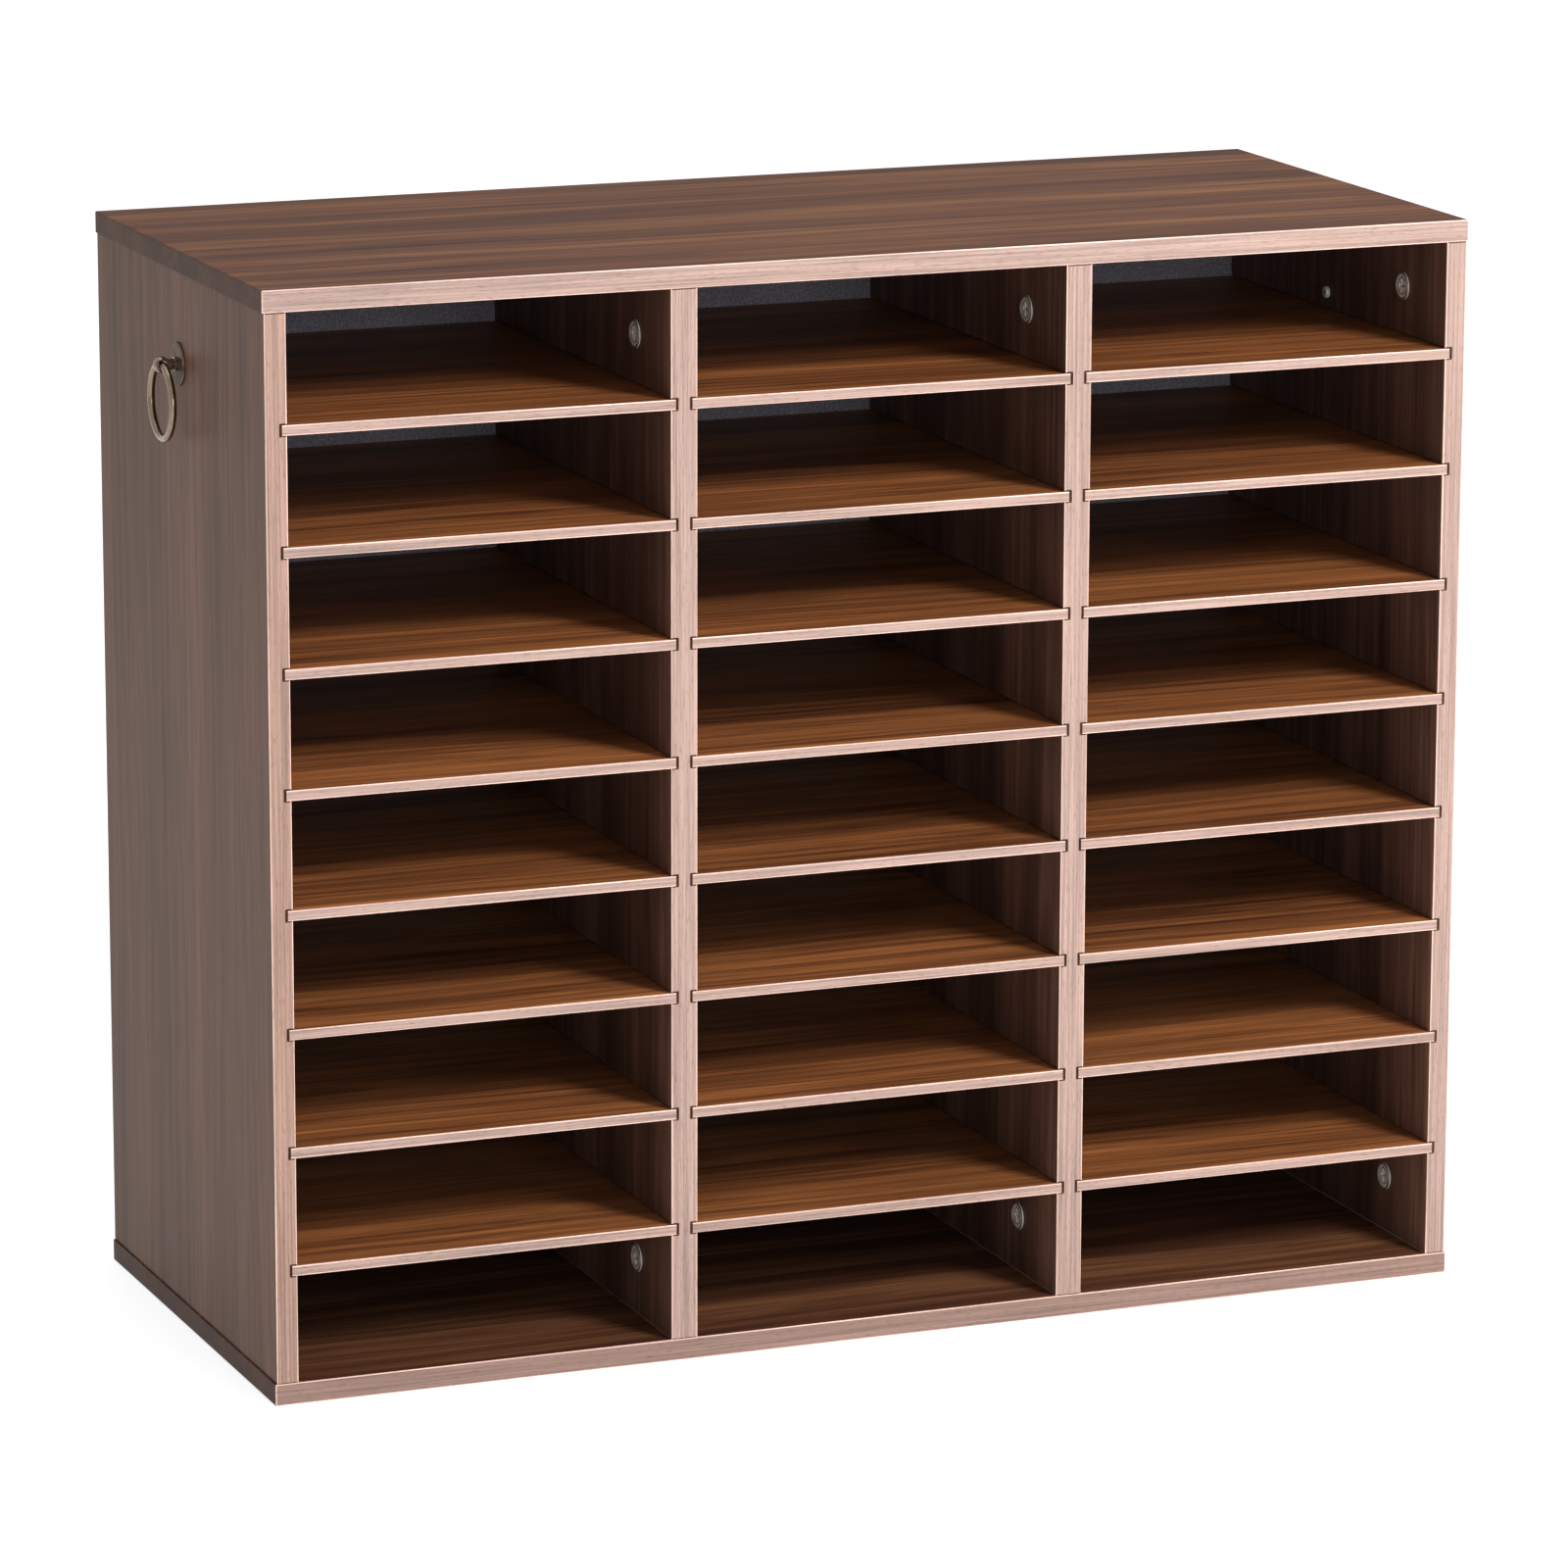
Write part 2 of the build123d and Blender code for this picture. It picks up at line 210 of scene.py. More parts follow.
class OrganizerSettings(bpy.types.PropertyGroup):
    edge_bevel: bpy.props.FloatProperty(
        name="Edge bevel", description="Width of the eased board edges",
        default=0.0006, unit="LENGTH", subtype="DISTANCE",
    )
    laminate_dark: bpy.props.FloatVectorProperty(
        name="Laminate dark", description="Darkest figure of the walnut laminate",
        default=(0.042, 0.018, 0.012), subtype="COLOR", size=3,
    )
    laminate_mid: bpy.props.FloatVectorProperty(
        name="Laminate middle", description="Main colour of the walnut laminate",
        default=(0.092, 0.037, 0.020), subtype="COLOR", size=3,
    )
    laminate_light: bpy.props.FloatVectorProperty(
        name="Laminate light", description="Lightest figure of the walnut laminate",
        default=(0.192, 0.088, 0.041), subtype="COLOR", size=3,
    )
    inner_dark: bpy.props.FloatVectorProperty(
        name="Shelf dark", description="Darkest figure of the shelves",
        default=(0.072, 0.023, 0.010), subtype="COLOR", size=3,
    )
    inner_light: bpy.props.FloatVectorProperty(
        name="Shelf light", description="Lightest figure of the shelves",
        default=(0.420, 0.160, 0.052), subtype="COLOR", size=3,
    )
    wall_dark: bpy.props.FloatVectorProperty(
        name="Wall dark", description="Darkest figure of the compartments' walls",
        default=(0.068, 0.034, 0.025), subtype="COLOR", size=3,
    )
    wall_mid: bpy.props.FloatVectorProperty(
        name="Wall middle", description="Main colour of the compartments' walls",
        default=(0.135, 0.068, 0.047), subtype="COLOR", size=3,
    )
    wall_light: bpy.props.FloatVectorProperty(
        name="Wall light", description="Lightest figure of the compartments' walls",
        default=(0.255, 0.132, 0.088), subtype="COLOR", size=3,
    )
    side_dark: bpy.props.FloatVectorProperty(
        name="Side dark", description="Darkest figure of the side panels' outer faces",
        default=(0.074, 0.036, 0.024), subtype="COLOR", size=3,
    )
    side_light: bpy.props.FloatVectorProperty(
        name="Side light", description="Lightest figure of the side panels' outer faces",
        default=(0.200, 0.102, 0.064), subtype="COLOR", size=3,
    )
    band: bpy.props.FloatVectorProperty(
        name="Edge band", description="Colour of the pale banding on the front edges",
        default=(0.335, 0.222, 0.184), subtype="COLOR", size=3,
    )
    raw_board: bpy.props.FloatVectorProperty(
        name="Raw board", description="Colour of sawn board inside the grooves",
        default=(0.36, 0.25, 0.16), subtype="COLOR", size=3,
    )
    back_board: bpy.props.FloatVectorProperty(
        name="Back board", description="Colour of the speckled back panels",
        default=(0.19, 0.140, 0.135), subtype="COLOR", size=3,
    )
    bronze: bpy.props.FloatVectorProperty(
        name="Bronze", description="Colour of the antique bronze rings and posts",
        default=(0.21, 0.155, 0.112), subtype="COLOR", size=3,
    )
    dark_bronze: bpy.props.FloatVectorProperty(
        name="Dark bronze", description="Colour of the handles' rosettes",
        default=(0.115, 0.088, 0.070), subtype="COLOR", size=3,
    )
    zinc: bpy.props.FloatVectorProperty(
        name="Zinc", description="Colour of the plated fittings",
        default=(0.92, 0.84, 0.72), subtype="COLOR", size=3,
    )
    beech: bpy.props.FloatVectorProperty(
        name="Beech", description="Colour of the wood dowels",
        default=(0.52, 0.36, 0.21), subtype="COLOR", size=3,
    )
    key_power: bpy.props.FloatProperty(
        name="Key light", description="Power of the main studio light in watts", default=100.0,
    )
    fill_power: bpy.props.FloatProperty(
        name="Fill light", description="Power of the fill light in watts", default=60.0,
    )
    lens: bpy.props.FloatProperty(
        name="Lens", description="Focal length of the camera in millimetres",
        default=173.5, subtype="DISTANCE_CAMERA",
    )


def settings():
    """The sizes and colours that a user can change."""
    return bpy.context.scene.organizer


# Shader nodes.


class Graph:
    """A small wrapper that adds and links shader nodes from left to right."""

    column_width = 200

    def __init__(self, material):
        material.use_nodes = True
        self.tree = material.node_tree
        self.tree.nodes.clear()
        self.column = 0

    def feed(self, socket, value):
        """Links a socket to the input, or writes a constant on it."""
        if isinstance(value, bpy.types.NodeSocket):
            self.tree.links.new(value, socket)
        else:
            socket.default_value = value

    def add(self, kind, **inputs):
        node = self.tree.nodes.new(kind)
        node.location = (self.column * self.column_width, 0)
        self.column += 1
        for name, value in inputs.items():
            self.feed(node.inputs[name.replace("_", " ")], value)
        return node

    def math(self, operation, a, b=0.0, clamp=False):
        node = self.tree.nodes.new("ShaderNodeMath")
        node.operation = operation
        node.use_clamp = clamp
        self.feed(node.inputs[0], a)
        self.feed(node.inputs[1], b)
        return node.outputs[0]

    def blend(self, a, b, share):
        """a and b in the shares 1 - share and share."""
        return self.math("ADD", self.math("MULTIPLY", a, 1 - share), self.math("MULTIPLY", b, share))

    def scaled(self, vector, factors):
        node = self.tree.nodes.new("ShaderNodeVectorMath")
        node.operation = "MULTIPLY"
        self.feed(node.inputs[0], vector)
        self.feed(node.inputs[1], factors)
        return node.outputs[0]

    def shifted(self, vector, other, amount):
        """The vector moved by the other one times the amount."""
        node = self.tree.nodes.new("ShaderNodeVectorMath")
        node.operation = "MULTIPLY_ADD"
        self.feed(node.inputs[0], other)
        self.feed(node.inputs[1], amount)
        self.feed(node.inputs[2], vector)
        return node.outputs[0]

    def noise(self, vector, scale, detail=3.0, rough=0.5, out="Fac"):
        node = self.add("ShaderNodeTexNoise", Vector=vector, Scale=scale, Detail=detail, Roughness=rough)
        return node.outputs[out]

    def figure(self, grain, changes, detail, rough=0.5, out="Fac"):
        """Noise that is stretched along the grain."""
        return self.noise(self.scaled(grain, changes), 1.0, detail, rough, out)

    def ramp(self, fac, stops):
        """A colour ramp with stops of (place, colour)."""
        node = self.add("ShaderNodeValToRGB", Fac=fac)
        elements = node.color_ramp.elements
        while len(elements) < len(stops):
            elements.new(0.5)
        for element, (place, colour) in zip(elements, stops):
            element.position = place
            element.color = (*colour, 1.0)
        return node.outputs["Color"]

    def multiplied(self, a, b):
        """Two colours multiplied, as a stain over a ground."""
        node = self.tree.nodes.new("ShaderNodeMix")
        node.data_type = "RGBA"
        node.blend_type = "MULTIPLY"
        factor, first, second, result = 0, 6, 7, 2
        self.feed(node.inputs[factor], 1.0)
        self.feed(node.inputs[first], a)
        self.feed(node.inputs[second], b)
        return node.outputs[result]

    def object_place(self):
        return self.add("ShaderNodeTexCoord").outputs["Object"]

    def grain(self):
        """The board's own grain attribute: metres along the grain, then across it."""
        node = self.tree.nodes.new("ShaderNodeAttribute")
        node.attribute_type = "GEOMETRY"
        node.attribute_name = "grain"
        return node.outputs["Vector"]

    def bump(self, height, strength, distance):
        node = self.add("ShaderNodeBump", Height=height, Strength=strength, Distance=distance)
        return node.outputs["Normal"]

    def seen_by_eye_or_metal(self):
        """One for camera, glossy and transmission rays, and zero for the light that falls on things."""
        rays = self.add("ShaderNodeLightPath").outputs
        seen = self.math("MAXIMUM", rays["Is Camera Ray"], rays["Is Glossy Ray"])
        return self.math("MAXIMUM", seen, rays["Is Transmission Ray"])

    def surface(self, colour, roughness, metallic=0.0, normal=None, specular=0.5):
        node = self.add("ShaderNodeBsdfPrincipled", Metallic=metallic, Roughness=roughness)
        self.feed(node.inputs["Specular IOR Level"], specular)
        self.feed(node.inputs["Base Color"], colour)
        if normal is not None:
            self.feed(node.inputs["Normal"], normal)
        output = self.add("ShaderNodeOutputMaterial")
        self.tree.links.new(node.outputs[0], output.inputs["Surface"])
        return node


def tint(colour, factor):
    """A colour made lighter or darker."""
    return tuple(min(1.0, channel * factor) for channel in colour)


def tone(colour, factors):
    """A colour with a factor of its own for red, green and blue."""
    return tuple(channel * factor for channel, factor in zip(colour, factors))


def between(first, second, share):
    """A colour between two others, at a share of the way to the second."""
    return tuple((1 - share) * a + share * b for a, b in zip(first, second))


def laminate_material(name, dark, middle, light, contrast=1.0, sheen=0.05, fineness=0.46):
    """Walnut figure: wide soft streaks, narrow streaks and fine pores along the grain."""
    material = bpy.data.materials.new(name)
    graph = Graph(material)
    grain = graph.grain()
    drift = graph.figure(grain, STREAK_DRIFT, detail=2.0, out="Color")
    bent = graph.shifted(grain, drift, STREAK_WANDER)
    wide = graph.figure(bent, WIDE_STREAKS, detail=3.0, rough=0.55)
    narrow = graph.figure(bent, NARROW_STREAKS, detail=4.0, rough=0.65)
    fibre = graph.figure(grain, FIBRES, detail=3.0, rough=0.7)
    streaks = graph.blend(wide, narrow, fineness)
    spread = graph.math("MULTIPLY", graph.math("SUBTRACT", streaks, 0.5), FIGURE_SPREAD * contrast)
    figure = graph.math("ADD", spread, 0.5, clamp=True)
    colour = graph.ramp(figure, ((0.12, dark), (0.48, middle), (0.86, light)))
    pores = graph.ramp(fibre, ((0.32, (0.62, 0.58, 0.55)), (0.58, (1.08, 1.07, 1.06))))
    roughness = graph.math("ADD", graph.math("MULTIPLY", fibre, 0.12), 0.37)
    normal = graph.bump(fibre, strength=0.10, distance=BOARD_RELIEF)
    graph.surface(graph.multiplied(colour, pores), roughness, normal=normal, specular=sheen)
    return material


def band_material(name, colour, rough=0.5):
    """Pale banding with short dark pores and faint lighter strands along the board."""
    material = bpy.data.materials.new(name)
    graph = Graph(material)
    grain = graph.grain()
    strands = graph.figure(grain, BAND_STRANDS, detail=3.0, rough=0.6)
    patches = graph.figure(grain, BAND_PATCHES, detail=2.0)
    pores = graph.figure(grain, BAND_PORES, detail=2.0)
    base = graph.ramp(strands, ((0.30, tint(colour, 0.64)), (0.52, colour), (0.70, tint(colour, 1.26))))
    cloudy = graph.ramp(patches, ((0.3, (0.95, 0.93, 0.92)), (0.7, (1.03, 1.03, 1.03))))
    pitted = graph.ramp(pores, ((0.33, (0.74, 0.70, 0.68)), (0.42, (1.0, 1.0, 1.0))))
    base = graph.multiplied(graph.multiplied(base, cloudy), pitted)
    normal = graph.bump(strands, strength=0.12, distance=BOARD_RELIEF)
    graph.surface(base, rough, normal=normal, specular=0.4)
    return material


def speckled_material(name, colour, scale, rough, depth):
    """A pressed fibre or particle surface with small light and dark flecks."""
    material = bpy.data.materials.new(name)
    graph = Graph(material)
    place = graph.object_place()
    flecks = graph.noise(place, scale, detail=3.0, rough=0.7)
    clouds = graph.noise(place, scale * CLOUDS_TO_FLECKS, detail=2.0)
    lightest = tint(colour, 1 + depth * LIGHT_FLECK_GAIN)
    base = graph.ramp(flecks, ((0.34, tint(colour, 1 - depth)), (0.5, colour), (0.68, lightest)))
    cloudy = graph.ramp(clouds, ((0.3, (0.94, 0.94, 0.94)), (0.7, (1.05, 1.05, 1.05))))
    normal = graph.bump(flecks, strength=0.25, distance=BOARD_RELIEF)
    graph.surface(graph.multiplied(base, cloudy), rough, normal=normal, specular=0.3)
    return material


def metal_material(name, colour, rough, wear, patina, metallic=1.0, edge=PLAIN_WHITE):
    """Plated metal with cloudy patina and brighter rubbed places."""
    material = bpy.data.materials.new(name)
    graph = Graph(material)
    place = graph.object_place()
    clouds = graph.noise(place, PATINA_CLOUDS, detail=3.0, rough=0.6)
    grit = graph.noise(place, METAL_GRIT, detail=2.0, rough=0.6)
    base = graph.ramp(
        clouds, ((0.32, tint(colour, 1 - patina)), (0.55, colour), (0.75, tint(colour, 1 + wear))),
    )
    roughness = graph.math("ADD", graph.math("MULTIPLY", grit, 0.16), rough - 0.06)
    normal = graph.bump(grit, strength=0.04, distance=METAL_RELIEF)
    shader = graph.surface(base, roughness, metallic=metallic, normal=normal)
    graph.feed(shader.inputs["Specular Tint"], (*edge, 1.0))
    return material


def plain_material(name, colour, rough, metallic=0.0):
    """An even surface with a slight change of shade."""
    material = bpy.data.materials.new(name)
    graph = Graph(material)
    grit = graph.noise(graph.object_place(), EVEN_GRIT, detail=2.0)
    base = graph.ramp(grit, ((0.3, tint(colour, 0.93)), (0.7, tint(colour, 1.05))))
    graph.surface(base, rough, metallic=metallic)
    return material


def floor_white():
    """Plain white floor: part of its white is its own, so that only a faint shadow is left."""
    material = bpy.data.materials.new("floor_white")
    graph = Graph(material)
    own_white = graph.math("MULTIPLY", graph.seen_by_eye_or_metal(), FLOOR_OWN_WHITE)
    glow = graph.add("ShaderNodeEmission", Color=WHITE, Strength=own_white)
    plain = graph.add("ShaderNodeBsdfDiffuse", Color=FLOOR_COLOUR)
    both = graph.add("ShaderNodeAddShader")
    output = graph.add("ShaderNodeOutputMaterial")
    graph.tree.links.new(glow.outputs[0], both.inputs[0])
    graph.tree.links.new(plain.outputs[0], both.inputs[1])
    graph.tree.links.new(both.outputs[0], output.inputs["Surface"])
    return material


MATERIALS = {}


def make_laminates(chosen):
    """The printed wood on the boards' faces."""
    dark, middle, light = map(tuple, (chosen.laminate_dark, chosen.laminate_mid, chosen.laminate_light))
    MATERIALS["laminate"] = laminate_material("walnut_laminate", dark, middle, light, sheen=0.008)
    # A darker copy of the laminate: painted shade where a shelf's tab and its groove meet, and the dark
    # ends and rear faces of the boards.
    MATERIALS["dark_edge_and_shade"] = laminate_material(
        "dark_edge_and_shade", tint(dark, 0.9), tint(middle, 0.72), tint(light, 0.6), contrast=0.7,
    )
    inner_dark, inner_light = tuple(chosen.inner_dark), tuple(chosen.inner_light)
    inner_middle = between(inner_dark, inner_light, 0.45)
    MATERIALS["inner"] = laminate_material(
        "inner_laminate", inner_dark, inner_middle, inner_light, sheen=0.2, fineness=0.6,
    )
    MATERIALS["wall"] = laminate_material(
        "wall_laminate", tuple(chosen.wall_dark), tuple(chosen.wall_mid), tuple(chosen.wall_light),
        sheen=0.2,
    )
    side_dark, side_light = tuple(chosen.side_dark), tuple(chosen.side_light)
    side_middle = between(side_dark, side_light, 0.5)
    MATERIALS["side"] = laminate_material(
        "side_laminate", side_dark, side_middle, side_light, contrast=0.85, sheen=0.06,
    )


def make_bands(chosen):
    """The pale banding, with painted shade that makes it darker and warmer on the left side panel and
    darker on the bottom panel, and painted highlights that make it light on its edges.
    """
    band = tuple(chosen.band)
    MATERIALS["band"] = band_material("edge_band", band)
    # Painted shade: the left side panel's band darker and warmer, the bottom panel's band darker.
    MATERIALS["band_left_painted_shade"] = band_material("left_edge_band_painted_shade", tone(band, (0.90, 0.81, 0.74)))
    MATERIALS["band_low_painted_shade"] = band_material("bottom_edge_band_painted_shade", tone(band, (0.68, 0.62, 0.59)))
    # Painted highlight: banding 2.2 times as light on the eased front edges; the same material draws the
    # pale line at each inner wall's foot.
    MATERIALS["foot_line_and_highlight"] = band_material("pale_line_and_highlight_band", tint(band, 2.2), rough=0.4)


def make_core_materials(chosen):
    """Sawn board, the back panels and the dowels."""
    MATERIALS["raw"] = speckled_material(
        "raw_board", tuple(chosen.raw_board), RAW_FLECKS, rough=0.9, depth=0.4,
    )
    MATERIALS["back"] = speckled_material(
        "back_board", tuple(chosen.back_board), BACK_FLECKS, rough=0.75, depth=0.35,
    )
    MATERIALS["beech"] = plain_material("beech", tuple(chosen.beech), rough=0.7)


def make_metals(chosen):
    """Bronze for the handles and zinc for the fittings."""
    bronze, dark_bronze, zinc = map(tuple, (chosen.bronze, chosen.dark_bronze, chosen.zinc))
    MATERIALS["bronze"] = metal_material("antique_bronze", bronze, rough=0.20, wear=0.12, patina=0.16)
    MATERIALS["dark_bronze"] = metal_material(
        "dark_bronze", dark_bronze, rough=0.34, wear=0.3, patina=0.4, edge=(0.65, 0.62, 0.60),
    )
    MATERIALS["zinc"] = metal_material(
        "zinc_fittings", zinc, rough=0.28, wear=0.08, patina=0.22, metallic=0.12,
    )
    MATERIALS["zinc_dark"] = plain_material("zinc_shade", tint(zinc, 0.28), rough=0.5, metallic=0.8)


def make_materials():
    """Every material of the organizer, made once."""
    for make in (make_laminates, make_bands, make_core_materials, make_metals):
        make(settings())


# Meshes.


def link_piece(name, mesh, body, node):
    """A finished piece: linked, riding on its body and standing for its CAD node."""
    piece = bpy.data.objects.new(name, mesh)
    bpy.context.scene.collection.objects.link(piece)
    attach(piece, body)
    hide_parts(node)


def welded_copy(node):
    """The CAD mesh of a node as a bmesh with its loose triangles joined."""
    mesh = bmesh.new()
    mesh.from_mesh(frame["nodes"][node].data)
    bmesh.ops.remove_doubles(mesh, verts=mesh.verts, dist=WELD_DISTANCE)
    return mesh


def finished_mesh(mesh, name, *materials):
    """Turns a bmesh into a plain mesh with its materials, and frees it."""
    data = bpy.data.meshes.new(name + "_mesh")
    mesh.to_mesh(data)
    mesh.free()
    for material in materials:
        data.materials.append(material)
    return data


def is_axis_aligned(face):
    """True on a flat board face, and false on a bore's wall."""
    return max(abs(c) for c in face.normal) > STRAIGHT


def ease_edges(mesh, width):
    """Bevels the sharp edges between flat board faces and leaves the bores alone."""
    mesh.normal_update()
    sharp = []
    for edge in mesh.edges:
        if len(edge.link_faces) != 2 or not all(map(is_axis_aligned, edge.link_faces)):
            continue
        if edge.calc_face_angle(0.0) > SHARP_ANGLE and edge.calc_length() > SHORTEST_EASED * width:
            sharp.append(edge)
    bmesh.ops.bevel(
        mesh, geom=sharp, offset=width, offset_type="OFFSET", segments=EASE_STEPS,
        profile=EASE_FULLNESS, affect="EDGES", clamp_overlap=True,
    )
    mesh.normal_update()


def add_grain(mesh, along, seed):
    """Stores for every corner where it sits along and across the board's grain."""
    layer = mesh.verts.layers.float_vector.new("grain")
    axes = [along] + [axis for axis in range(3) if axis != along]
    for vert in mesh.verts:
        vert[layer] = Vector([vert.co[axis] + shift * seed for axis, shift in zip(axes, GRAIN_SHIFTS)])


def eased_front_finish(x, centre, low, high, kind):
    """An eased front edge gets a painted highlight, and painted shade where a shelf's tab and its groove
    meet.
    """
    at_board_side = min(centre.x - low.x, high.x - centre.x) < BESIDE_DEPTH
    if kind == "shelf":
        return "dark_edge_and_shade" if abs(x) > SLIGHTLY and at_board_side else "foot_line_and_highlight"
    return "foot_line_and_highlight" if at_board_side or kind in END_BOARDS else "dark_edge_and_shade"


def is_foot_line(normal, centre, low, kind):
    """The cut laminate shows as a thin pale line at the foot of each inner wall."""
    x, _, z = normal
    faces_in = kind == "divider" or kind == "left_outer" and x > 0 or kind == "right_outer" and x < 0
    at_foot = centre.z < low.z + FOOT_DEPTH
    return faces_in and at_foot and ASLANT < abs(x) < FRONTAL and z < -BARELY


def is_skin(normal, centre, low, high, kind):
    """True on the two broad outer faces of a board, which carry the laminate."""
    axis = Z_AXIS if kind in LYING_BOARDS else X_AXIS
    outside = centre[axis] < low[axis] + SKIN_DEPTH or centre[axis] > high[axis] - SKIN_DEPTH
    return abs(normal[axis]) > BROADLY and outside


def skin_finish(normal, kind):
    """The laminate on a broad face: outer faces differ from the shelves and the compartments' walls."""
    x, _, z = normal
    if kind == "left_outer" and x < -BROADLY or kind == "right_outer" and x > BROADLY:
        return "side"
    if kind == "bottom" or kind == "top" and z > BROADLY:
        return "laminate"
    return "wall" if abs(x) > BROADLY else "inner"


def is_inside(point, low, high):
    """True in a groove or bore, away from a board's side and end edges."""
    return all(low[i] + EASED_DEPTH < point[i] < high[i] - EASED_DEPTH for i in (0, 1))


def face_finish(face, low, high, kind):
    """The finish of one face of a board, from the way it looks and where it lies."""
    normal = face.normal
    x, y, _ = normal
    centre = face.calc_center_median()
    if centre.y < low.y + SKIN_DEPTH and y < -FRONTAL:
        return FRONT_BANDS.get(kind, "band")
    if y < -SLIGHTLY and centre.y < low.y + EASED_DEPTH:
        return eased_front_finish(x, centre, low, high, kind)
    if is_foot_line(normal, centre, low, kind):
        return "foot_line_and_highlight"
    if is_skin(normal, centre, low, high, kind):
        return skin_finish(normal, kind)
    if kind in END_BOARDS and (abs(x) > MOSTLY or y > MOSTLY):
        return "raw" if is_inside(centre, low, high) else "dark_edge_and_shade"
    if kind not in LYING_BOARDS and y > MOSTLY and centre.y > high.y - EASED_DEPTH:
        return "dark_edge_and_shade"
    return "raw"


def make_board(node, along, kind, seed):
    """A bevelled board with grain, banding on its front and raw grooves."""
    low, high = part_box(node)
    mesh = welded_copy(node)
    ease_edges(mesh, settings().edge_bevel)
    add_grain(mesh, along, seed)
    for face in mesh.faces:
        face.material_index = BOARD_FINISHES.index(face_finish(face, low, high, kind))
        face.smooth = False
    data = finished_mesh(mesh, node, *(MATERIALS[name] for name in BOARD_FINISHES))
    link_piece(node + "_board", data, body_name(node), node)


def body_name(node):
    """The body that a CAD node rides on."""
    for name, nodes in frame["record"]["behaviour"]["bodies"].items():
        if node in nodes:
            return name
    raise ValueError(node + " rides on no body")


def paint_node(node, material):
    """Gives a CAD node that is shown as it is its material."""
    data = frame["nodes"][node].data
    data.materials.clear()
    data.materials.append(material)


def smooth_by_angle(mesh):
    """Smooth faces with hard edges kept where two faces meet at a sharper angle."""
    for face in mesh.faces:
        face.smooth = True
    for edge in mesh.edges:
        edge.smooth = len(edge.link_faces) == 2 and edge.calc_face_angle(0.0) < SMOOTH_ANGLE


def add_block(mesh, low, high, material):
    """Adds a plain block between two corners."""
    xs, ys, zs = zip(low, high)
    corners = [mesh.verts.new((x, y, z)) for z in zs for y in ys for x in xs]
    sides = ((0, 2, 3, 1), (4, 5, 7, 6), (0, 1, 5, 4), (2, 6, 7, 3), (0, 4, 6, 2), (1, 3, 7, 5))
    for side in sides:
        mesh.faces.new([corners[i] for i in side]).material_index = material


class Solid:
    """Builds one smooth mesh out of turned profiles and a ring of wire."""

    def __init__(self):
        self.mesh = bmesh.new()

    def turned(self, profile, steps):
        """Revolves (distance along X, radius) points round the X axis."""
        rings = []
        for along, radius in profile:
            ring = []
            for i in range(steps):
                angle = 2 * math.pi * i / steps
                place = (along, radius * math.sin(angle), radius * math.cos(angle))
                ring.append(self.mesh.verts.new(place))
            rings.append(ring)
        for a, b in zip(rings, rings[1:]):
            self.strip(a, b)

    def torus(self, centre, radius, wire, steps=96, sides=24):
        """A ring of round wire in the YZ plane."""
        rings = []
        for i in range(steps):
            angle = 2 * math.pi * i / steps
            out = Vector((0, math.sin(angle), math.cos(angle)))
            ring = []
            for k in range(sides):
                turn = 2 * math.pi * k / sides
                offset = out * math.cos(turn) * wire + Vector((math.sin(turn) * wire, 0, 0))
                ring.append(self.mesh.verts.new(Vector(centre) + out * radius + offset))
            rings.append(ring)
        for a, b in zip(rings, rings[1:] + rings[:1]):
            self.strip(a, b)

    def strip(self, a, b):
        """A closed band of faces between two loops of as many corners."""
        for i in range(len(a)):
            j = (i + 1) % len(a)
            self.mesh.faces.new((a[i], a[j], b[j], b[i])).smooth = True

    def wedge(self, outline, height):
        """A flat-sided block over a (Y, Z) outline, standing on X = 0."""
        low = [self.mesh.verts.new((0.0, y, z)) for y, z in outline]
        high = [self.mesh.verts.new((height, y, z)) for y, z in outline]
        self.mesh.faces.new(high)
        self.mesh.faces.new(low[::-1])
        for i in range(len(outline)):
            j = (i + 1) % len(outline)
            self.mesh.faces.new((low[i], low[j], high[j], high[i]))

    def finish(self, name, *materials):
        bmesh.ops.recalc_face_normals(self.mesh, faces=self.mesh.faces)
        return finished_mesh(self.mesh, name, *materials)


def repeat_tree(name, template, material):
    """A node group that puts one template on every input point and makes it real."""
    tree = bpy.data.node_groups.new(name, "GeometryNodeTree")
    tree.interface.new_socket("Points", in_out="INPUT", socket_type="NodeSocketGeometry")
    scale = tree.interface.new_socket("Size", in_out="INPUT", socket_type="NodeSocketFloat")
    scale.default_value = 1.0
    turn = tree.interface.new_socket("Turn", in_out="INPUT", socket_type="NodeSocketVector")
    tree.interface.new_socket("Geometry", in_out="OUTPUT", socket_type="NodeSocketGeometry")
    start = tree.nodes.new("NodeGroupInput")
    source = tree.nodes.new("GeometryNodeObjectInfo")
    source.inputs["Object"].default_value = template
    place = tree.nodes.new("GeometryNodeInstanceOnPoints")
    real = tree.nodes.new("GeometryNodeRealizeInstances")
    paint = tree.nodes.new("GeometryNodeSetMaterial")
    paint.inputs["Material"].default_value = material
    end = tree.nodes.new("NodeGroupOutput")
    tree.links.new(start.outputs["Points"], place.inputs["Points"])
    tree.links.new(source.outputs["Geometry"], place.inputs["Instance"])
    tree.links.new(start.outputs["Turn"], place.inputs["Rotation"])
    tree.links.new(start.outputs["Size"], place.inputs["Scale"])
    tree.links.new(place.outputs[0], real.inputs[0])
    tree.links.new(real.outputs[0], paint.inputs[0])
    tree.links.new(paint.outputs[0], end.inputs[0])
    return tree, {"Size": scale.identifier, "Turn": turn.identifier}


